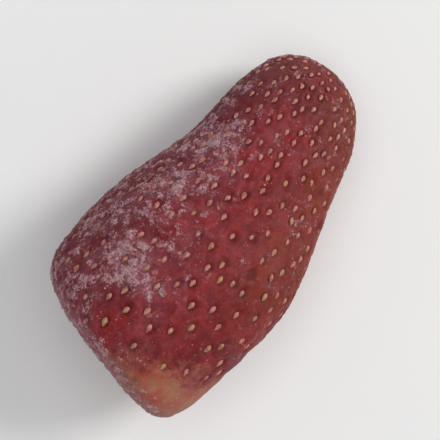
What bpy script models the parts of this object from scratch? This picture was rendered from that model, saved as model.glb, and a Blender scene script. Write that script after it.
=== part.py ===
"""A whole frozen strawberry, hulled, lying on its side on a small flat spot.

The berry is one solid. Its skin is a stack of rings along X, from the shallow dent that the
hull left (at -X) to the blunt tip (at +X). Each ring is a superellipse, wider than it is high.
The hulled end is cut at a slant, so its -Y shoulder reaches further back than its +Y shoulder.
All lengths are in metres, +Z is up, and the origin is under the middle of the berry's box.
"""

import math

import bmesh
import bpy
from mathutils import Vector

# Driving dimensions
LENGTH = 0.0475           # from the hull dent's rim to the tip, along the axis
WIDTH = 0.0280            # across the shoulders, along Y
THICKNESS = 0.0250        # across the shoulders, along Z
FLAT_SPOT_DEPTH = 0.0003  # how much of the underside the flat spot takes away

# How the axis runs
AXIS_DROP = 0.150         # fall of the axis for each metre towards the tip
HULL_SLANT = 0.23         # how far the hulled end leans along X for each metre of Y
SLANT_REACH = 0.75        # part of the length over which the slant dies out, as a parabola
AXIS_SWAY = 0.0008        # sideways wander of the axis, one wave over the length

# How round the sections are
SQUARENESS = 2.25         # superellipse exponent: 2 is an ellipse
# Lobes of a section: (how many, turn along the length, start angle, part of the radius)
LOBES = (
    (3, 5.0, 0.0, 0.012),
    (5, -4.0, 1.0, 0.007),
)

RINGS_PER_SPAN = 3        # rings between two points of the outline
SEGMENTS = 56             # points round a ring

SKIN_COLOUR = (0.185, 0.022, 0.022, 1.0)
SKIN_ROUGHNESS = 0.62

# Outline of one side: (distance from the hulled rim / LENGTH, half-width / half of WIDTH)
OUTLINE = (
    (0.042, 0.00),
    (0.037, 0.15),
    (0.014, 0.32),
    (0.000, 0.50),
    (0.008, 0.70),
    (0.038, 0.845),
    (0.100, 0.925),
    (0.200, 0.962),
    (0.310, 0.985),
    (0.410, 0.965),
    (0.500, 0.890),
    (0.620, 0.770),
    (0.730, 0.690),
    (0.820, 0.640),
    (0.895, 0.560),
    (0.955, 0.415),
    (0.990, 0.210),
    (1.000, 0.00),
)


def curve_point(before, start, end, after, t):
    """A point between start and end on the Catmull-Rom curve through four points."""
    point = []
    for p0, p1, p2, p3 in zip(before, start, end, after):
        bend = 2 * p0 - 5 * p1 + 4 * p2 - p3
        twist = 3 * p1 - p0 - 3 * p2 + p3
        point.append(0.5 * (2 * p1 + (p2 - p0) * t + bend * t * t + twist * t ** 3))
    return point


def smooth_outline():
    """The outline with rings added between its points; both ends meet the axis squarely."""
    (first_x, first_r), (last_x, last_r) = OUTLINE[1], OUTLINE[-2]
    points = [(first_x, -first_r)] + list(OUTLINE) + [(last_x, -last_r)]
    rings = []
    for i in range(1, len(points) - 2):
        for step in range(RINGS_PER_SPAN):
            rings.append(curve_point(*points[i - 1:i + 3], step / RINGS_PER_SPAN))
    rings.append(OUTLINE[-1])
    return rings


def skin_point(along, radius, angle):
    """Where the skin is, for a ring of the outline and an angle round it from +Y towards +Z."""
    cosine = math.cos(angle)
    sine = math.sin(angle)
    square = (abs(cosine) ** SQUARENESS + abs(sine) ** SQUARENESS) ** (-1 / SQUARENESS)
    lobes = sum(size * math.cos(count * angle + turn * along + start) for count, turn, start, size in LOBES)
    reach = radius * square * (1 + lobes)

    slant = HULL_SLANT * max(0.0, 1 - along / SLANT_REACH) ** 2
    sway = AXIS_SWAY * math.cos(2 * math.pi * along)
    y = reach * cosine * WIDTH / 2
    x = (along - 0.5) * LENGTH + slant * y
    z = reach * sine * THICKNESS / 2 - AXIS_DROP * x
    return Vector((x, y + sway, z))


def build_skin():
    """The closed skin, as a mesh: rings joined by quads, with a fan at each end."""
    mesh = bmesh.new()
    outline = smooth_outline()
    rings = []
    for along, radius in outline[1:-1]:
        angles = [2 * math.pi * k / SEGMENTS for k in range(SEGMENTS)]
        rings.append([mesh.verts.new(skin_point(along, radius, angle)) for angle in angles])
    dent = mesh.verts.new(skin_point(*outline[0], 0.0))
    tip = mesh.verts.new(skin_point(*outline[-1], 0.0))

    for k in range(SEGMENTS):
        following = (k + 1) % SEGMENTS
        mesh.faces.new((dent, rings[0][k], rings[0][following]))
        mesh.faces.new((tip, rings[-1][following], rings[-1][k]))
        for ring, next_ring in zip(rings, rings[1:]):
            mesh.faces.new((ring[k], next_ring[k], next_ring[following], ring[following]))
    bmesh.ops.recalc_face_normals(mesh, faces=mesh.faces)
    return mesh


def cut_flat_spot(mesh):
    """Slice the underside level, so that the berry has one flat face to rest on."""
    height = min(vert.co.z for vert in mesh.verts) + FLAT_SPOT_DEPTH
    everything = list(mesh.verts) + list(mesh.edges) + list(mesh.faces)
    cut = bmesh.ops.bisect_plane(
        mesh, geom=everything, dist=1e-6, plane_co=(0, 0, height), plane_no=(0, 0, 1), clear_inner=True)
    rim = [item for item in cut["geom_cut"] if isinstance(item, bmesh.types.BMEdge)]
    bmesh.ops.contextual_create(mesh, geom=rim)


def put_on_origin(mesh):
    """Move the berry so that the origin is at the middle of its box's underside."""
    spans = [[vert.co[axis] for vert in mesh.verts] for axis in range(3)]
    middle = [(min(span) + max(span)) / 2 for span in spans]
    offset = Vector((-middle[0], -middle[1], -min(spans[2])))
    bmesh.ops.translate(mesh, verts=mesh.verts, vec=offset)


def make_material():
    """Dull dark red skin."""
    material = bpy.data.materials.new("skin")
    material.use_nodes = True
    shader = material.node_tree.nodes["Principled BSDF"]
    shader.inputs["Base Color"].default_value = SKIN_COLOUR
    shader.inputs["Roughness"].default_value = SKIN_ROUGHNESS
    shader.inputs["Metallic"].default_value = 0.0
    return material


def make_strawberry():
    """The berry's one object."""
    skin = build_skin()
    cut_flat_spot(skin)
    put_on_origin(skin)
    data = bpy.data.meshes.new("strawberry")
    skin.to_mesh(data)
    skin.free()
    data.shade_smooth()
    data.set_sharp_from_angle(angle=math.radians(40))
    data.materials.append(make_material())
    berry = bpy.data.objects.new("strawberry", data)
    bpy.context.scene.collection.objects.link(berry)
    return berry


for existing in list(bpy.data.objects):
    bpy.data.objects.remove(existing, do_unlink=True)
make_strawberry()
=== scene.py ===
"""The looks of a whole frozen strawberry, hulled, lying on its side.

The skin repeats the CAD model's outline in a fine mesh, and adds what is too small for it: the pits
that the seeds sit in, the unevenness of the flesh, the hulled end's core and fibres, and the frost. The
seeds and the loose frost grains are pieces of their own. Lengths are in metres, in the CAD frame: +X runs
to the tip, and +Z is up.
"""

import math

import bpy
import numpy as np
from mathutils import Matrix, Vector, noise


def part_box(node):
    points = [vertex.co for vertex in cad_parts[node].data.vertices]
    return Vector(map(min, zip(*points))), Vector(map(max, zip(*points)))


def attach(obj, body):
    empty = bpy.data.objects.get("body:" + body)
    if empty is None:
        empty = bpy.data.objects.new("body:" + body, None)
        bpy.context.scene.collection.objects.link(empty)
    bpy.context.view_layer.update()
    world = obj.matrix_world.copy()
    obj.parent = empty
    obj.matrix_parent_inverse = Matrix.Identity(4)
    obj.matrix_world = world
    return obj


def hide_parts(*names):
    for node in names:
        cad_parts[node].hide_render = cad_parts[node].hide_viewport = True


MM = 0.001
SEED = 20

# The berry's shape, as in the CAD model
LENGTH = 47.5 * MM        # from the hull dent's rim to the tip
WIDTH = 28.0 * MM
THICKNESS = 25.0 * MM
AXIS_DROP = 0.150
HULL_SLANT = 0.23
SLANT_REACH = 0.75
AXIS_SWAY = 0.8 * MM
SQUARENESS = 2.25
LOBES = (
    (3, 5.0, 0.0, 0.012),
    (5, -4.0, 1.0, 0.007),
)
OUTLINE = (
    (0.042, 0.00),
    (0.037, 0.15),
    (0.014, 0.32),
    (0.000, 0.50),
    (0.008, 0.70),
    (0.038, 0.845),
    (0.100, 0.925),
    (0.200, 0.962),
    (0.310, 0.985),
    (0.410, 0.965),
    (0.500, 0.890),
    (0.620, 0.770),
    (0.730, 0.690),
    (0.820, 0.640),
    (0.895, 0.560),
    (0.955, 0.415),
    (0.990, 0.210),
    (1.000, 0.00),
)

# The fine mesh, and the steps that its directions are measured over
SEGMENTS = 400            # round the widest ring; narrow rings have a half, a quarter and so on
RING_GAP = 0.235 * MM
TRAVEL_STEP = 0.1 * MM
TURN_STEP = 0.004

# Where the seeds sit
HULL_EDGE = 9.8 * MM      # travel at which the seeds begin, just over the shoulder
SPACING_PLACES = (0.0, 0.15, 0.45, 0.75, 1.0)         # parts of the length, and the seeds' spacing there
SEED_SPACINGS = (3.6 * MM, 3.1 * MM, 2.65 * MM, 2.1 * MM, 1.6 * MM)
SPIRAL_STEPS = 4000       # steps that the spiral is counted out in
SPIRAL_PACKING = 0.87     # skin for each seed, as a part of the spacing squared
DISORDER = 0.17           # how far seeds stray, as a part of the spacing
LEAST_GAP = 0.62          # a seed nearer than this to another, as a part of the spacing, is left out
TIP_MARGIN = 0.3 * MM     # no seeds nearer than this to the tip's end
BARE_NUB = 8.5 * MM       # nor this near to the pale nub
SEED_CLEARANCE = 0.9 * MM  # nor this near to the floor
MISSING_SEEDS = 0.04      # part of the pits that are empty

# Seeds and their pits
SEED_SIZES = (1.08, 1.0, 0.80)                        # at the hulled end, the middle and the tip
SEED_TURN = 0.16          # how unevenly seeds lie, as angles
SEED_TILT = 0.08
SEED_LENGTH = 1.18 * MM
SEED_WIDTH = 0.66 * MM
SEED_HEIGHT = 0.46 * MM
PIT_DEPTH = 0.32 * MM
PIT_LENGTH = 0.88 * MM    # half-length of the steep pit
PIT_WIDTH = 0.60 * MM
DIP_DEPTH = 0.10 * MM     # the soft dip round it
DIP_REACH = 2.1           # and how much wider than the pit that is
SEED_SEAT = 0.14 * MM     # a seed's middle above the bottom of its pit
SEAT_VARIATION = 0.04 * MM
PIT_SEARCH = 4 * MM       # skin further than this from a seed isn't part of its pit
PIT_SEARCH_HEIGHT = 2.5 * MM


def curve_point(before, start, end, after, t):
    """Points between start and end on the Catmull-Rom curve through four points, for an array of t."""
    point = []
    for p0, p1, p2, p3 in zip(before, start, end, after):
        bend = 2 * p0 - 5 * p1 + 4 * p2 - p3
        twist = 3 * p1 - p0 - 3 * p2 + p3
        point.append(0.5 * (2 * p1 + (p2 - p0) * t + bend * t * t + twist * t ** 3))
    return np.array(point)


def dense_outline(steps=40):
    """The outline's smooth curve, as two arrays: how far along, and radius."""
    (first_x, first_r), (last_x, last_r) = OUTLINE[1], OUTLINE[-2]
    points = [(first_x, -first_r)] + list(OUTLINE) + [(last_x, -last_r)]
    t = np.arange(steps) / steps
    spans = [curve_point(*points[i - 1:i + 3], t) for i in range(1, len(points) - 2)]
    spans.append(np.array(OUTLINE[-1]).reshape(2, 1))
    return np.concatenate(spans, axis=1)


ALONG, RADIUS = dense_outline()
STEPS = np.hypot(np.diff(ALONG) * LENGTH, np.diff(RADIUS) * (WIDTH + THICKNESS) / 4)
TRAVEL = np.concatenate([[0], np.cumsum(STEPS)])      # distance over the skin from the dent's middle


def section(angle):
    """Unit section: how far the superellipse reaches at each angle."""
    return (np.abs(np.cos(angle)) ** SQUARENESS + np.abs(np.sin(angle)) ** SQUARENESS) ** (-1 / SQUARENESS)


ANGLES = np.linspace(-0.5 * math.pi, 1.5 * math.pi, 1441)
SECTION_Y = section(ANGLES) * np.cos(ANGLES) * WIDTH / 2
SECTION_Z = section(ANGLES) * np.sin(ANGLES) * THICKNESS / 2
TURNED = np.concatenate([[0], np.cumsum(np.hypot(np.diff(SECTION_Y), np.diff(SECTION_Z)))])
GIRTH = TURNED[-1]


def skin_points(travel, turn):
    """Smooth skin, without relief: travel is the distance from the dent's middle towards the tip,
    and turn the part of a full turn, by distance, from the underside past +Y and the top."""
    along = np.interp(travel, TRAVEL, ALONG)
    radius = np.interp(travel, TRAVEL, RADIUS)
    angle = np.interp(np.mod(turn, 1.0) * GIRTH, TURNED, ANGLES)
    lobes = 0.0
    for count, sweep, start, size in LOBES:
        lobes = lobes + size * np.cos(count * angle + sweep * along + start)
    reach = radius * section(angle) * (1 + lobes)
    y = reach * np.cos(angle) * WIDTH / 2
    x = (along - 0.5) * LENGTH + HULL_SLANT * np.maximum(0, 1 - along / SLANT_REACH) ** 2 * y
    z = reach * np.sin(angle) * THICKNESS / 2 - AXIS_DROP * x
    return np.stack([x, y + AXIS_SWAY * np.cos(2 * math.pi * along), z], axis=-1)


def unit(vectors):
    """The vectors, each made one long."""
    return vectors / np.maximum(np.linalg.norm(vectors, axis=-1, keepdims=True), 1e-12)


def skin_frames(travel, turn):
    """Place, direction to the tip, direction round the berry and outward normal of points on the skin."""
    ahead = skin_points(np.minimum(travel + TRAVEL_STEP, TRAVEL[-1]), turn)
    ahead = ahead - skin_points(travel - TRAVEL_STEP, turn)
    aside = skin_points(travel, turn + TURN_STEP) - skin_points(travel, turn - TURN_STEP)
    normal = unit(np.cross(aside, ahead))
    ahead = unit(ahead)
    return skin_points(travel, turn), ahead, np.cross(ahead, normal), normal


def fractal(points, size, octaves=3, shift=0.0):
    """Smooth noise of about -1 to 1 at each point. size is that of its largest features, and shift moves
    the pattern, so that no two uses of it are alike."""
    offset = Vector((shift, 2 * shift, -shift))
    return np.array([noise.fractal(Vector(p) / size + offset, 0.9, 2.0, octaves) for p in points])


# ---------------------------------------------------------------- the skin's mesh

def ring_plan():
    """Where the rings are, and how many points each has: halved again and again where rings are small."""
    count = int(TRAVEL[-1] / RING_GAP)
    travels = (np.arange(count) + 0.5) / count * TRAVEL[-1]
    radii = np.interp(travels, TRAVEL, RADIUS)
    halvings = np.clip(np.floor(np.log2(1 / np.maximum(radii, 1e-3))), 0, 4).astype(int)
    return travels, SEGMENTS // 2 ** halvings


def ring_faces(first, first_count, second, second_count):
    """Faces between two rings, as corners of (ring, place in the ring); one may have half the points."""
    faces = []
    if first_count == second_count:
        for k in range(first_count):
            faces.append(((first, k), (first, k + 1), (second, k + 1), (second, k)))
        return faces
    if first_count > second_count:
        fine, coarse, flip = first, second, False
    else:
        fine, coarse, flip = second, first, True
    for k in range(min(first_count, second_count)):
        trio = [
            ((fine, 2 * k), (fine, 2 * k + 1), (coarse, k)),
            ((fine, 2 * k + 1), (coarse, k + 1), (coarse, k)),
            ((fine, 2 * k + 1), (fine, 2 * k + 2), (coarse, k + 1)),
        ]
        faces += [face[::-1] for face in trio] if flip else trio
    return faces


def skin_grid():
    """Travel and turn of every point of the skin's mesh, its faces and their places on the flat map."""
    travels, counts = ring_plan()
    starts = np.concatenate([[0], np.cumsum(counts)])
    travel = np.concatenate([np.full(n, t) for t, n in zip(travels, counts)] + [[0.0, TRAVEL[-1]]])
    turn = np.concatenate([np.arange(n) / n for n in counts] + [[0.0, 0.0]])
    dent, tip = len(travel) - 2, len(travel) - 1

    faces, places = [], []
    for i in range(len(counts) - 1):
        for face in ring_faces(i, counts[i], i + 1, counts[i + 1]):
            faces.append([starts[ring] + place % counts[ring] for ring, place in face])
            places += [(place / counts[ring], travels[ring] / TRAVEL[-1]) for ring, place in face]
    last = len(counts) - 1
    for k in range(counts[0]):
        faces.append([dent, starts[0] + (k + 1) % counts[0], starts[0] + k])
        row = travels[0] / TRAVEL[-1]
        places += [((k + 0.5) / counts[0], 0.0), ((k + 1) / counts[0], row), (k / counts[0], row)]
    for k in range(counts[last]):
        faces.append([tip, starts[last] + k, starts[last] + (k + 1) % counts[last]])
        row = travels[last] / TRAVEL[-1]
        places += [((k + 0.5) / counts[last], 1.0), (k / counts[last], row), ((k + 1) / counts[last], row)]
    return travel, turn, faces, places


# ---------------------------------------------------------------- where the seeds sit

def seed_spacing(along):
    """Distance between seeds: wide at the shoulders and close together at the tip."""
    return np.interp(along, SPACING_PLACES, SEED_SPACINGS)


def seed_places(rng):
    """Travel and turn of each seed, on the spiral that plants grow by, with a little disorder and with no
    two seeds touching."""
    travel = np.linspace(HULL_EDGE, TRAVEL[-1], SPIRAL_STEPS)
    along = np.interp(travel, TRAVEL, ALONG)
    girth = np.interp(travel, TRAVEL, RADIUS) * GIRTH
    per_step = girth * (travel[1] - travel[0]) / (SPIRAL_PACKING * seed_spacing(along) ** 2)
    total = np.cumsum(per_step)
    order = np.arange(int(total[-1]))
    golden = (3 - math.sqrt(5)) / 2
    at = np.interp(order + 0.5, total, travel)
    spacing = seed_spacing(np.interp(at, TRAVEL, ALONG))
    ring = np.maximum(np.interp(at, TRAVEL, RADIUS) * GIRTH, 1 * MM)
    at = at + rng.normal(0, DISORDER, len(order)) * spacing
    turn = order * golden + rng.normal(0, DISORDER, len(order)) * spacing / ring
    at = np.clip(at, HULL_EDGE, TRAVEL[-1] - TIP_MARGIN)
    turn = np.mod(turn, 1.0)
    places = skin_points(at, turn)
    kept = []
    for i in range(len(at)):
        gaps = np.linalg.norm(places[kept] - places[i], axis=1)
        if not kept or gaps.min() > LEAST_GAP * spacing[i]:
            kept.append(i)
    return at[kept], turn[kept]


# ---------------------------------------------------------------- frost and colour, by place

# Thick frost on the upper side: (x, y, reach along X, reach along Y, strength)
TOP_FROST = (
    (7.4 * MM, 6.3 * MM, 3.8 * MM, 2.6 * MM, 1.0),
    (-10.2 * MM, 5.4 * MM, 3.6 * MM, 3.0 * MM, 0.95),
    (-11.2 * MM, 1.8 * MM, 2.6 * MM, 2.0 * MM, 0.75),
    (-3.0 * MM, 7.5 * MM, 7.0 * MM, 4.0 * MM, 0.62),
    (13.5 * MM, 4.5 * MM, 3.5 * MM, 2.2 * MM, 0.35),
    (-15.5 * MM, 9.5 * MM, 3.5 * MM, 3.5 * MM, 0.55),
)
# The same on the underside
UNDER_FROST = (
    (-8.0 * MM, -7.0 * MM, 5.0 * MM, 3.5 * MM, 0.8),
    (5.0 * MM, -5.5 * MM, 4.5 * MM, 3.0 * MM, 0.7),
    (12.0 * MM, 4.0 * MM, 4.0 * MM, 3.5 * MM, 0.6),
)
# Clean skin on the upper side
TOP_CLEAN = (
    (-17.0 * MM, 3.0 * MM, 2.4 * MM, 2.6 * MM, 0.9),
    (-16.0 * MM, -5.5 * MM, 3.4 * MM, 3.0 * MM, 0.9),
    (3.5 * MM, -2.5 * MM, 6.5 * MM, 3.6 * MM, 0.7),
    (-9.0 * MM, -8.0 * MM, 6.0 * MM, 3.5 * MM, 0.7),
)


def patches(points, middle_z, spots, above):
    """How much each point belongs to soft round spots on the upper side, or on the underside."""
    amount = np.zeros(len(points))
    side = np.clip((points[:, 2] - middle_z) / (2 * MM) * (1 if above else -1) + 0.5, 0, 1)
    for x, y, reach_x, reach_y, strength in spots:
        distance = ((points[:, 0] - x) / reach_x) ** 2 + ((points[:, 1] - y) / reach_y) ** 2
        amount = np.maximum(amount, strength * np.exp(-0.5 * distance ** 1.5))
    return amount * side


def smoothstep(low, high, value):
    """0 below low and 1 above high, with a soft rise between."""
    t = np.clip((value - low) / (high - low), 0, 1)
    return t * t * (3 - 2 * t)


# How strong the frost is, from 0 to 1: as a film, by where it lies, and as a dusting
PLUS_FLANK_FILM = 0.42
MINUS_FLANK_FILM = 0.12
EDGE_FILM = 0.27          # where the skin is upright
EDGE_BIAS = 0.09          # as much more on the +Y side, and less on the -Y side
SHOULDER_FILM = 0.60
UNDER_FILM = 0.25
DUST = 0.24
DUST_VARIATION = 0.26
HULL_DUST = 0.30          # more dust on the +Y side towards the hulled end
RIM_FROST = 0.85


def frost_film_amount(points, normals, travel):
    """The film of frost on the flanks, the upright edge, the shoulders and the underside."""
    flank = PLUS_FLANK_FILM * smoothstep(0.15, 0.75, normals[:, 1])
    flank += MINUS_FLANK_FILM * smoothstep(0.45, 0.95, -normals[:, 1])
    edge = EDGE_FILM + EDGE_BIAS * np.sign(normals[:, 1])
    flank = np.maximum(flank, edge * smoothstep(0.45, 0.05, np.abs(normals[:, 2])))
    shoulder = SHOULDER_FILM * smoothstep(15 * MM, 10 * MM, travel)
    shoulder *= smoothstep(-4 * MM, 4 * MM, points[:, 1] + 3 * MM)
    under = UNDER_FILM * smoothstep(0.2, 0.9, -normals[:, 2])
    return np.maximum(np.maximum(flank, shoulder), under)


def frost_mask(points, normals, travel):
    """How frosted the skin is: thick patches, the film, the hulled end's rim, and a dusting everywhere but
    in the clean places."""
    middle = np.interp(points[:, 0], [-20 * MM, 20 * MM], [15 * MM, 8.5 * MM])
    thick = patches(points, middle, TOP_FROST, True)
    thick = np.maximum(thick, patches(points, middle, UNDER_FROST, False))
    film = frost_film_amount(points, normals, travel)
    uneven = fractal(points, 5 * MM, 3, 3.1)
    amount = np.maximum(thick * (1 + 0.5 * uneven), film * (1 + 0.8 * uneven))
    dust = DUST + DUST_VARIATION * fractal(points, 2.6 * MM, 3, 6.4)
    towards_hull = smoothstep(16 * MM, 6 * MM, points[:, 0])
    dust += HULL_DUST * smoothstep(-5 * MM, 7 * MM, points[:, 1]) * towards_hull
    rim = RIM_FROST * smoothstep(0.35, 0.8, -normals[:, 0]) * smoothstep(-0.5, 0.3, normals[:, 2])
    amount = np.maximum(np.maximum(amount, dust), rim)
    clean = patches(points, middle, TOP_CLEAN, True)
    return np.clip(amount * (1 - clean), 0, 1)


def from_nub(points, nub):
    """Distance of each point from the pale nub, the hulled end's furthest corner, counted as less across
    the berry than along it."""
    return np.linalg.norm((points - nub) * (1.0, 0.75, 0.6), axis=1)


def colour_masks(points, normals, travel, nub):
    """How pale and warm brown each point is, how much painted shade darkens it on the +Y flank, how brown
    towards the tip, and how filmed with frost at the hulled end's rim."""
    from_hull = smoothstep(10.5 * MM, 6.5 * MM, travel + 1.2 * MM * fractal(points, 4 * MM, 2, 7.7))
    nub_gap = from_nub(points, nub) + 1.8 * MM * fractal(points, 3 * MM, 3, 1.3)
    pale = np.maximum(from_hull, smoothstep(12.0 * MM, 5.5 * MM, nub_gap))
    warm = smoothstep(0.05, 0.6, -normals[:, 1]) * smoothstep(-16 * MM, 0 * MM, points[:, 0])
    warm = np.clip(warm * (0.8 + 0.5 * fractal(points, 4 * MM, 2, 9.9)), 0, 1)
    # Painted shade: the +Y flank, facing away from the key light, is darkened in colour
    painted_shade = smoothstep(0.15, 0.75, normals[:, 1])
    rim = smoothstep(0.30, 0.70, -normals[:, 0]) * smoothstep(-0.3, 0.2, normals[:, 2]) * (1 - 0.5 * pale)
    rim = np.clip(rim * (1 + 0.8 * fractal(points, 1.5 * MM, 3, 15.0)), 0, 1)
    tip_gap = np.linalg.norm(points - points[np.argmax(points[:, 0])], axis=1)
    brown = 0.45 * smoothstep(13 * MM, 21 * MM, points[:, 0])
    brown = np.maximum(brown, smoothstep(6 * MM, 1.5 * MM, tip_gap))
    return {"pale": pale, "warm": warm, "painted_shade": painted_shade, "tip": brown, "rim": rim}


FIBRE_LENGTH = 3 * MM
FIBRE_FINENESS = 4.0


def hull_face(points, travel, turn):
    """The hulled end: its core in the middle, and the fibres that run out from it, both from 0 to 1. The
    fibres are noise taken round a circle, so that they meet where a full turn ends."""
    core = smoothstep(3.4 * MM, 1.6 * MM, travel + 0.6 * MM * fractal(points, 2 * MM, 2, 4.4))
    angle = 2 * math.pi * turn
    around = np.stack([np.cos(angle), np.sin(angle), travel / FIBRE_LENGTH], axis=1)
    around *= (FIBRE_FINENESS, FIBRE_FINENESS, 1.0)
    fibre = 0.5 + fractal(around, 1.0, 3, 6.6)
    return core, np.clip(fibre, 0, 1) * smoothstep(8.5 * MM, 5.0 * MM, travel)


# ---------------------------------------------------------------- pieces

# Loose frost grains
GRAIN_COUNT = 14000
GRAIN_SIZES = (0.05 * MM, 0.13 * MM)
GRAIN_STRETCHES = (0.5, 1.4)
GRAIN_SPREAD = 0.1 * MM   # how far a grain strays over the skin from its point of the mesh
GRAIN_SINK = 0.02 * MM    # and how deep its middle lies; also its least height over the floor
GRAIN_FROST = 0.2         # frost at which grains begin to gather
STRAY_GRAINS = 0.0012     # chance of a grain where there is no frost

# The skin's relief
BROAD_RELIEF = 0.15 * MM
FOLD_RELIEF = 0.08 * MM
SKIN_ROUGHNESS = 0.045 * MM
FROST_ROUGHNESS = 0.13 * MM
CLUMP_HEIGHT = 0.10 * MM
FIBRE_HEIGHT = 0.16 * MM
CORE_DEPTH = 0.55 * MM
CORE_RIM_HEIGHT = 0.25 * MM

def mesh_object(name, vertices, faces, smooth=True):
    """A mesh object in the scene."""
    data = bpy.data.meshes.new(name)
    data.from_pydata(vertices.tolist(), [], faces)
    data.validate()
    if smooth:
        data.shade_smooth()
    piece = bpy.data.objects.new(name, data)
    bpy.context.scene.collection.objects.link(piece)
    return piece


def store(piece, name, values):
    """Keeps one number for each point of a mesh, for its material to read."""
    piece.data.attributes.new(name, "FLOAT", "POINT").data.foreach_set("value", values.astype(np.float32))


def press_pits(points, seeds, ahead, aside, normals, sizes, pit_shade_strengths):
    """How far each point sinks around the seeds, and how much painted shade darkens the pit there: 0 past
    its rim.
    """
    sink = np.zeros(len(points))
    dip = np.zeros(len(points))
    near = np.zeros(len(points))
    for seed, along, across, up, size, painted_shade in zip(seeds, ahead, aside, normals, sizes, pit_shade_strengths):
        close = np.flatnonzero(np.abs(points - seed).max(axis=1) < PIT_SEARCH)
        gap = points[close] - seed
        close = close[np.abs(gap @ up) < PIT_SEARCH_HEIGHT]
        gap = points[close] - seed
        distance = (gap @ along / (PIT_LENGTH * size)) ** 2 + (gap @ across / (PIT_WIDTH * size)) ** 2
        pit = PIT_DEPTH * size * np.exp(-distance ** 2)
        dip[close] += DIP_DEPTH * np.exp(-distance / DIP_REACH ** 2)
        sink[close] = np.maximum(sink[close], pit)
        # Painted shade strength of the pit at each point, for the skin's colour
        near[close] = np.maximum(near[close], painted_shade * np.exp(-0.6 * distance ** 2))
    return -sink - np.minimum(dip, 2 * DIP_DEPTH), near


def seed_shape(rings=7, segments=10):
    """One seed lying along X: a teardrop, blunt towards the berry's tip and narrow towards its hull."""
    points = [(-0.5, 0.0, 0.0)]
    for i in range(1, rings + 1):
        t = i / (rings + 1)
        radius = 0.5 * math.sin(math.pi * t ** 1.25) ** 0.8
        for k in range(segments):
            angle = 2 * math.pi * k / segments
            points.append((t - 0.5, radius * math.cos(angle), radius * math.sin(angle)))
    points.append((0.5, 0.0, 0.0))
    faces = []
    for k in range(segments):
        after = (k + 1) % segments
        faces.append((0, 1 + after, 1 + k))
        last = 1 + (rings - 1) * segments
        faces.append((len(points) - 1, last + k, last + after))
        for i in range(rings - 1):
            row = 1 + i * segments
            faces.append((row + k, row + after, row + segments + after, row + segments + k))
    return np.array(points) * (SEED_LENGTH, SEED_WIDTH, SEED_HEIGHT), faces


def make_seeds(places, ahead, aside, normals, sizes, rng):
    """All the seeds in one mesh, each set in its pit, a little turned and tilted. Their tint runs from
    pink, 0, to olive, 1, and is more olive on the -Y side."""
    shape, shape_faces = seed_shape()
    points, faces, tints = [], [], []
    for place, along, across, up, size in zip(places, ahead, aside, normals, sizes):
        tint = 0.6 * rng.random() + 0.4 * smoothstep(6 * MM, -8 * MM, place[1] + 0.3 * place[0])
        turn = rng.normal(0, SEED_TURN)
        tilt = rng.normal(0, SEED_TILT)
        scale = size * (0.9 + 0.2 * rng.random())
        if rng.random() < MISSING_SEEDS:
            continue
        axes = Matrix((along, across, up)).transposed()
        spin = axes @ Matrix.Rotation(turn, 3, "Z") @ Matrix.Rotation(tilt, 3, "Y")
        depth = PIT_DEPTH * size + DIP_DEPTH - SEED_SEAT + rng.normal(0, SEAT_VARIATION)
        centre = place - up * depth
        faces += [[corner + len(points) * len(shape) for corner in face] for face in shape_faces]
        points.append(shape * scale @ np.array(spin).T + centre)
        tints.append(np.full(len(shape), tint))
    piece = mesh_object("seeds", np.concatenate(points), faces)
    store(piece, "tint", np.concatenate(tints))
    return piece


def make_grains(skin_places, skin_normals, frost, count, rng):
    """Loose frost: tiny uneven crystals, thick where the frost is and a few everywhere."""
    chance = np.maximum(frost - GRAIN_FROST, 0) ** 2 + STRAY_GRAINS
    chosen = rng.choice(len(skin_places), count, p=chance / chance.sum())
    corners = np.array([(1, 0, 0), (0, 1, 0), (-1, 0, 0), (0, -1, 0), (0, 0, 1), (0, 0, -1)], float)
    sides = [(0, 1, 4), (1, 2, 4), (2, 3, 4), (3, 0, 4), (1, 0, 5), (2, 1, 5), (3, 2, 5), (0, 3, 5)]
    up = skin_normals[chosen]
    spread = rng.normal(0, GRAIN_SPREAD, (count, 3))
    spread -= up * np.sum(spread * up, axis=1, keepdims=True)
    size = rng.uniform(*GRAIN_SIZES, (count, 1, 1)) * rng.uniform(*GRAIN_STRETCHES, (count, 1, 3))
    turns = rng.uniform(0, math.pi, count)
    axes = unit(rng.normal(0, 1, (count, 3)))
    spins = [Matrix.Rotation(turn, 3, Vector(axis)) for turn, axis in zip(turns, axes)]
    centres = skin_places[chosen] + spread - up * GRAIN_SINK
    points = np.einsum("nij,nkj->nki", np.array(spins), corners * size) + centres[:, None, :]
    points[..., 2] = np.maximum(points[..., 2], GRAIN_SINK)
    faces = [[corner + 6 * i for corner in side] for i in range(count) for side in sides]
    return mesh_object("frost", points.reshape(-1, 3), faces, smooth=False)


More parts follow.
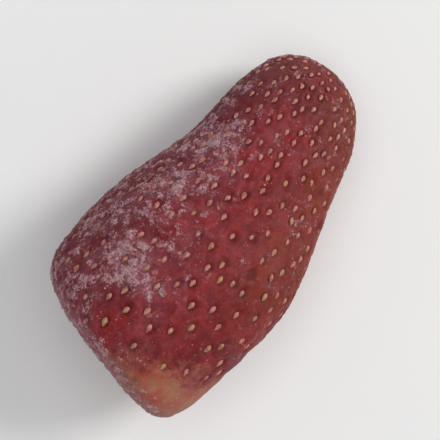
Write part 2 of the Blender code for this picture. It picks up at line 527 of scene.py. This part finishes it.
def make_skin(place_shift, seeds, sizes, nub, rng):
    """The skin, with its relief and the masks that its material reads."""
    travel, turn, faces, flat_places = skin_grid()
    base, _, _, normals = skin_frames(travel, turn)
    normals[-2:] = (-1, 0, 0), (1, 0, -AXIS_DROP)
    base = base + place_shift
    seed_travel, seed_turn = seeds
    places, ahead, aside, seed_normals = skin_frames(seed_travel, seed_turn)
    # How strongly each pit is darkened with painted shade
    pit_shade_strengths = rng.uniform(0.35, 1.0, len(sizes))
    pits, near = press_pits(base, places + place_shift, ahead, aside, seed_normals, sizes, pit_shade_strengths)

    frost = frost_mask(base, normals, travel)
    masks = colour_masks(base, normals, travel, nub)
    core, fibre = hull_face(base, travel, turn)
    broad = BROAD_RELIEF * fractal(base, 8 * MM, 2, 2.0) + DIP_DEPTH
    folds = FOLD_RELIEF * fractal(base, 2.4 * MM, 3, 5.0)
    rough = (SKIN_ROUGHNESS + FROST_ROUGHNESS * frost) * fractal(base, 0.7 * MM, 3, 8.0)
    clump = smoothstep(-0.15, 0.5, fractal(base, 1.2 * MM, 3, 12.0))
    rough += CLUMP_HEIGHT * frost * clump
    core_rim = smoothstep(0.05, 0.4, core) * (1 - core)
    hull = FIBRE_HEIGHT * fibre - CORE_DEPTH * core + CORE_RIM_HEIGHT * core_rim
    offset = broad + folds + pits + rough + hull
    points = base + normals * offset[:, None]
    points[:, 2] = np.maximum(points[:, 2], 0)

    skin = mesh_object("skin", points, faces)
    # pit carries the pits' painted shade for the colour, and also keeps frost out of the pits
    masks |= {"frost": frost, "clump": clump, "pit": near, "core": core, "fibre": fibre}
    for name, values in masks.items():
        store(skin, name, values)
    flat_map = skin.data.uv_layers.new(name="OFBake")
    flat_map.data.foreach_set("uv", np.array(flat_places, np.float32).ravel())
    return skin, points, normals, frost * (1 - 0.7 * near) * (0.35 + 0.65 * clump)


# ---------------------------------------------------------------- materials

# Colours, as linear red, green and blue
DEEP_RED = (0.145, 0.007, 0.010)
FULL_RED = (0.230, 0.011, 0.012)
SHADE_RED = (0.085, 0.004, 0.008)
PINK_RED = (0.28, 0.040, 0.038)
WARM_RED = (0.190, 0.026, 0.004)
FLANK_SHADE_PURPLE = (0.090, 0.006, 0.013)
TIP_BROWN = (0.105, 0.026, 0.008)
SPECK_RED = (0.070, 0.004, 0.007)
PIT_SHADE_RED = (0.065, 0.004, 0.007)
SALMON = (0.35, 0.075, 0.045)
TAN = (0.34, 0.150, 0.080)
FIBRE_CREAM = (0.46, 0.25, 0.17)
CORE_BROWN = (0.30, 0.115, 0.055)
FILM_LILAC = (0.31, 0.135, 0.175)
FROST_DIM = (0.29, 0.11, 0.13)
FROST_BRIGHT = (0.70, 0.43, 0.45)
SEED_PINK = (0.46, 0.165, 0.125)
SEED_OLIVE = (0.39, 0.205, 0.09)
SEED_BROWN = (0.20, 0.045, 0.028)
SEED_DUST = (0.62, 0.38, 0.33)
GRAIN_DIM = (0.33, 0.165, 0.18)
GRAIN_BRIGHT = (0.52, 0.34, 0.36)
FLOOR_GREY = (0.87, 0.87, 0.87)
FLOOR_WHITE = (0.90, 0.90, 0.895)


def new_material(name):
    """An empty node material: its tree and its shader."""
    material = bpy.data.materials.new(name)
    material.use_nodes = True
    return material, material.node_tree, material.node_tree.nodes["Principled BSDF"]


def add(tree, kind, inputs=(), **settings):
    """A node with its settings; an input is given a value, or another node's output to join."""
    made = tree.nodes.new(kind)
    for name, value in settings.items():
        setattr(made, name, value)
    for name, value in dict(inputs).items():
        if isinstance(value, bpy.types.NodeSocket):
            tree.links.new(value, made.inputs[name])
        else:
            made.inputs[name].default_value = value
    return made


def grain(tree, size, detail=3.0, roughness=0.55, distortion=0.0, stretch=1.0):
    """Noise from 0 to 1 with features of about that size, stretched along the berry."""
    place = add(tree, "ShaderNodeTexCoord").outputs["Object"]
    if stretch != 1.0:
        inputs = {"Vector": place, "Scale": (1 / stretch, 1, 1)}
        place = add(tree, "ShaderNodeMapping", inputs).outputs["Vector"]
    inputs = {"Vector": place, "Scale": 1 / size, "Detail": detail}
    inputs |= {"Roughness": roughness, "Distortion": distortion}
    return add(tree, "ShaderNodeTexNoise", inputs).outputs["Fac"]


def mask(tree, name):
    """A number kept on the mesh's points."""
    return add(tree, "ShaderNodeAttribute", attribute_name=name).outputs["Fac"]


def fit(tree, value, low, high, to_low=0.0, to_high=1.0):
    """value, with low to high stretched softly over to_low to to_high."""
    inputs = {"Value": value, "From Min": low, "From Max": high, "To Min": to_low, "To Max": to_high}
    return add(tree, "ShaderNodeMapRange", inputs, interpolation_type="SMOOTHSTEP").outputs["Result"]


def calc(tree, operation, first, second, clamp=True):
    """Arithmetic on two numbers, kept between 0 and 1 unless clamp is off."""
    inputs = {0: first, 1: second}
    return add(tree, "ShaderNodeMath", inputs, operation=operation, use_clamp=clamp).outputs[0]


def blend(tree, amount, under, over):
    """The colour over laid on the colour under."""
    made = add(tree, "ShaderNodeMix", data_type="RGBA")
    for name, value in {"Factor": amount, 6: under, 7: over}.items():
        if isinstance(value, bpy.types.NodeSocket):
            tree.links.new(value, made.inputs[name])
        else:
            made.inputs[name].default_value = (*value, 1.0) if isinstance(value, tuple) else value
    return made.outputs[2]


def set_flesh(shader, weight, radius, scale):
    """Lets light into a material: how much, how far for red, green and blue, and the size of that."""
    shader.inputs["Subsurface Weight"].default_value = weight
    shader.inputs["Subsurface Radius"].default_value = radius
    shader.inputs["Subsurface Scale"].default_value = scale


def set_bump(tree, shader, height, strength, distance):
    """Fine relief on a material."""
    bump = add(tree, "ShaderNodeBump", {"Height": height, "Strength": strength, "Distance": distance})
    tree.links.new(bump.outputs["Normal"], shader.inputs["Normal"])


def flesh_colour(tree):
    """Crimson, mottled, browner on the -Y flank and at the tip, with painted shade on the +Y flank, the
    side turned from the key light.
    """
    colour = blend(tree, fit(tree, grain(tree, 7 * MM), 0.38, 0.62), DEEP_RED, FULL_RED)
    colour = blend(tree, fit(tree, grain(tree, 1.5 * MM, 4), 0.45, 0.68, 0, 0.6), colour, SHADE_RED)
    colour = blend(tree, fit(tree, grain(tree, 0.8 * MM, 5, 0.7), 0.48, 0.66, 0, 0.5), colour, PINK_RED)
    colour = blend(tree, calc(tree, "MULTIPLY", mask(tree, "warm"), 0.8), colour, WARM_RED)
    # Painted shade: darker purple red on the +Y flank
    colour = blend(tree, calc(tree, "MULTIPLY", mask(tree, "painted_shade"), 0.6), colour, FLANK_SHADE_PURPLE)
    colour = blend(tree, calc(tree, "MULTIPLY", mask(tree, "tip"), 0.75), colour, TIP_BROWN)
    return blend(tree, fit(tree, grain(tree, 0.5 * MM, 4, 0.7), 0.49, 0.66, 0, 0.55), colour, SPECK_RED)


def hull_colour(tree):
    """Salmon and tan, with paler fibres and a brown core."""
    colour = blend(tree, fit(tree, grain(tree, 2.2 * MM, 4), 0.35, 0.65), SALMON, TAN)
    colour = blend(tree, fit(tree, mask(tree, "fibre"), 0.35, 0.9, 0, 0.7), colour, FIBRE_CREAM)
    return blend(tree, calc(tree, "MULTIPLY", mask(tree, "core"), 0.75), colour, CORE_BROWN)


def frost_film(tree, frost):
    """How thick the thin, even frost is."""
    film = calc(tree, "MULTIPLY", fit(tree, grain(tree, 2.4 * MM, 5, 0.65), 0.30, 0.66), frost)
    film = calc(tree, "ADD", calc(tree, "MULTIPLY", film, 0.46), 0.02)
    return calc(tree, "MAXIMUM", film, calc(tree, "MULTIPLY", mask(tree, "rim"), 0.5))


def frost_flecks(tree, frost):
    """Where the crust of frost lies, in clumps and in fine flecks, but less of it in the pits."""
    level = fit(tree, frost, 0.0, 0.9, 0.65, 0.42)
    level = calc(tree, "ADD", level, fit(tree, mask(tree, "clump"), 0.0, 1.0, 0.05, -0.07))
    coarse = calc(tree, "SUBTRACT", grain(tree, 0.75 * MM, 5, 0.75, 0.2, 1.15), level, clamp=False)
    fine = calc(tree, "SUBTRACT", grain(tree, 0.33 * MM, 3, 0.7), level, clamp=False)
    crust = fit(tree, coarse, -0.02, 0.20, 0, 0.85)
    fleck = calc(tree, "MAXIMUM", crust, fit(tree, fine, 0.01, 0.16, 0, 0.7))
    open_skin = calc(tree, "SUBTRACT", 1.0, calc(tree, "MULTIPLY", mask(tree, "pit"), 0.75))
    return calc(tree, "MULTIPLY", fleck, open_skin)


def skin_material():
    """Dull crimson skin, with a pale hulled end, painted shade in and round the pits, and frost as a film
    and as flecks.
    """
    material, tree, shader = new_material("berry_skin")
    uneven = fit(tree, grain(tree, 0.9 * MM, 5, 0.7), 0.3, 0.7, -0.22, 0.22)
    pale = calc(tree, "ADD", mask(tree, "pale"), uneven, clamp=False)
    colour = blend(tree, fit(tree, pale, 0.0, 1.0, 0, 0.95), flesh_colour(tree), hull_colour(tree))
    # Painted shade: a dark ring round each seed, where its pit would fall into shadow
    ring = calc(tree, "MULTIPLY", fit(tree, mask(tree, "pit"), 0.25, 0.9), 0.5)
    colour = blend(tree, ring, colour, PIT_SHADE_RED)

    frost = mask(tree, "frost")
    colour = blend(tree, frost_film(tree, frost), colour, FILM_LILAC)
    sparkle = fit(tree, grain(tree, 0.36 * MM, 4, 0.7), 0.40, 0.62)
    fleck = frost_flecks(tree, frost)
    colour = blend(tree, fleck, colour, blend(tree, sparkle, FROST_DIM, FROST_BRIGHT))
    tree.links.new(colour, shader.inputs["Base Color"])

    dull = fit(tree, grain(tree, 1.1 * MM), 0.3, 0.7, 0.46, 0.62)
    dull = calc(tree, "ADD", calc(tree, "MULTIPLY", frost, 0.25), dull)
    dull = calc(tree, "ADD", dull, calc(tree, "MULTIPLY", fleck, 0.2))
    tree.links.new(dull, shader.inputs["Roughness"])
    shader.inputs["Specular IOR Level"].default_value = 0.16
    set_flesh(shader, 0.12, (1.0, 0.22, 0.15), 0.9 * MM)

    height = calc(tree, "MULTIPLY", grain(tree, 0.22 * MM, 4), 0.4)
    height = calc(tree, "ADD", calc(tree, "MULTIPLY", fleck, 0.6), height)
    set_bump(tree, shader, height, 0.8, 0.11 * MM)
    return material


def seed_material():
    """Woody seeds, from pinkish to olive tan, browner in places and dusted with frost."""
    material, tree, shader = new_material("seed_tan")
    colour = blend(tree, fit(tree, mask(tree, "tint"), 0.45, 1.0), SEED_PINK, SEED_OLIVE)
    colour = blend(tree, fit(tree, grain(tree, 0.5 * MM, 3), 0.42, 0.66, 0, 0.65), colour, SEED_BROWN)
    colour = blend(tree, fit(tree, grain(tree, 0.3 * MM, 3, 0.6), 0.54, 0.66, 0, 0.6), colour, SEED_DUST)
    tree.links.new(colour, shader.inputs["Base Color"])
    shader.inputs["Roughness"].default_value = 0.5
    set_flesh(shader, 0.1, (1.0, 0.5, 0.3), 0.5 * MM)
    set_bump(tree, shader, grain(tree, 0.18 * MM, 2), 0.4, 0.04 * MM)
    return material


def frost_material():
    """Frost grains: off-white ice over red, so a little pink."""
    material, tree, shader = new_material("frost_grains")
    colour = blend(tree, fit(tree, grain(tree, 0.7 * MM, 3), 0.38, 0.62), GRAIN_DIM, GRAIN_BRIGHT)
    tree.links.new(colour, shader.inputs["Base Color"])
    shader.inputs["Roughness"].default_value = 0.6
    shader.inputs["Specular IOR Level"].default_value = 0.3
    set_flesh(shader, 0.25, (0.8, 0.6, 0.6), 0.3 * MM)
    return material


def floor_material():
    """Matt white table top, with the faintest unevenness."""
    material, tree, shader = new_material("pale_floor")
    colour = blend(tree, grain(tree, 60 * MM, 3), FLOOR_GREY, FLOOR_WHITE)
    tree.links.new(colour, shader.inputs["Base Color"])
    shader.inputs["Roughness"].default_value = 0.75
    shader.inputs["Specular IOR Level"].default_value = 0.25
    return material


# ---------------------------------------------------------------- floor, light and camera

FLOOR_REACH = 0.40        # flat as far as this, then rising
SWEEP_REACH = 1.10
SWEEP_HEIGHT = 0.60
LENS = 150.0
SENSOR = 36.0
FRAME_WIDTH = 57.0 * MM   # how much the camera sees across, at the berry's middle height
HEADING = math.radians(51.5)  # the berry's axis, up from the right of the frame


def make_floor(rings=16, segments=96):
    """A plain pale floor that rises softly all round, like a paper sweep, so that no horizon shows."""
    turn = np.arange(segments) / segments * 2 * math.pi
    points, faces = [], [list(range(segments))]
    for i in range(rings + 1):
        rise = i / rings
        reach = FLOOR_REACH + (SWEEP_REACH - FLOOR_REACH) * rise
        height = np.full(segments, SWEEP_HEIGHT * rise ** 2)
        points.append(np.stack([reach * np.cos(turn), reach * np.sin(turn), height], axis=1))
    for i in range(rings):
        for k in range(segments):
            after = (k + 1) % segments
            inner, outer = i * segments, (i + 1) * segments
            faces.append([inner + k, outer + k, outer + after, inner + after])
    floor = mesh_object("floor", np.concatenate(points), faces)
    floor.data.materials.append(floor_material())


def area_light(name, place, size, power, colour=(1, 1, 1)):
    """A square soft light aimed at the berry."""
    data = bpy.data.lights.new(name, "AREA")
    data.shape = "SQUARE"
    data.size = size
    data.energy = power
    data.color = colour
    lamp = bpy.data.objects.new(name, data)
    bpy.context.scene.collection.objects.link(lamp)
    lamp.location = place
    lamp.rotation_euler = (-Vector(place)).to_track_quat("-Z", "Y").to_euler()


def make_light():
    """Soft studio light: a big one overhead, a key from the -Y side of the tip, and a dim even room."""
    area_light("overhead", place=(0.0, 0.0, 0.9), size=0.8, power=3.15)
    area_light("key", place=(0.62, -0.42, 0.70), size=0.35, power=5.2, colour=(1.0, 0.985, 0.96))
    world = bpy.data.worlds.new("room")
    world.use_nodes = True
    background = world.node_tree.nodes["Background"]
    background.inputs["Color"].default_value = (0.93, 0.95, 1.0, 1.0)
    background.inputs["Strength"].default_value = 0.20
    bpy.context.scene.world = world


def make_camera(height):
    """Straight above the berry, turned so that the berry lies from lower left to upper right."""
    data = bpy.data.cameras.new("camera")
    data.lens = LENS
    data.sensor_width = SENSOR
    distance = FRAME_WIDTH / SENSOR * LENS
    data.clip_start = 0.01
    data.clip_end = 20.0
    camera = bpy.data.objects.new("camera", data)
    bpy.context.scene.collection.objects.link(camera)
    camera.location = (0, 0, height + distance)
    camera.rotation_euler = (0, 0, -HEADING)
    bpy.context.scene.camera = camera


# ---------------------------------------------------------------- making it

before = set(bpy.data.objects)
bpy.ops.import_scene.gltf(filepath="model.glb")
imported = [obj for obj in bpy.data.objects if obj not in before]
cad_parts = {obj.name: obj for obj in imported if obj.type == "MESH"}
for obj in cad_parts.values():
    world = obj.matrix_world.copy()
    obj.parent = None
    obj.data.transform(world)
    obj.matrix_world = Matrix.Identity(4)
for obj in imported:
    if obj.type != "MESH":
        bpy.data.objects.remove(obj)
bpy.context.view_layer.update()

# The formulas' frame is moved onto the CAD solid
rng = np.random.default_rng(SEED)
low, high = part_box("strawberry")
travels = np.linspace(0, TRAVEL[-1], SEGMENTS)
turns = np.linspace(0, 1, SEGMENTS, endpoint=False)
travels, turns = np.meshgrid(travels, turns)
outer = skin_points(travels.ravel(), turns.ravel())
shift = np.array((low + high) / 2) - (outer.min(axis=0) + outer.max(axis=0)) / 2
shift[2] = high.z - outer[:, 2].max()

nub = outer[np.argmin(outer[:, 0])] + shift
seed_travel, seed_turn = seed_places(rng)
bare = from_nub(skin_points(seed_travel, seed_turn) + shift, nub) < BARE_NUB
seed_at = (seed_travel[~bare], seed_turn[~bare])
seed_sizes = np.interp(np.interp(seed_at[0], TRAVEL, ALONG), (0, 0.5, 1), SEED_SIZES)
seed_frames = skin_frames(*seed_at)
skin, skin_places, skin_normals, frost_here = make_skin(shift, seed_at, seed_sizes, nub, rng)
skin.data.materials.append(skin_material())

seed_parts = (seed_frames[0] + shift, *seed_frames[1:], seed_sizes)
clear = seed_parts[0][:, 2] > SEED_CLEARANCE
seeds = make_seeds(*[part[clear] for part in seed_parts], rng)
seeds.data.materials.append(seed_material())

grains = make_grains(skin_places, skin_normals, frost_here, GRAIN_COUNT, rng)
grains.data.materials.append(frost_material())

for piece in (skin, seeds, grains):
    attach(piece, "root")
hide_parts("strawberry")

make_floor()
make_light()
make_camera((low.z + high.z) / 2)
bpy.context.scene.view_settings.view_transform = "Standard"
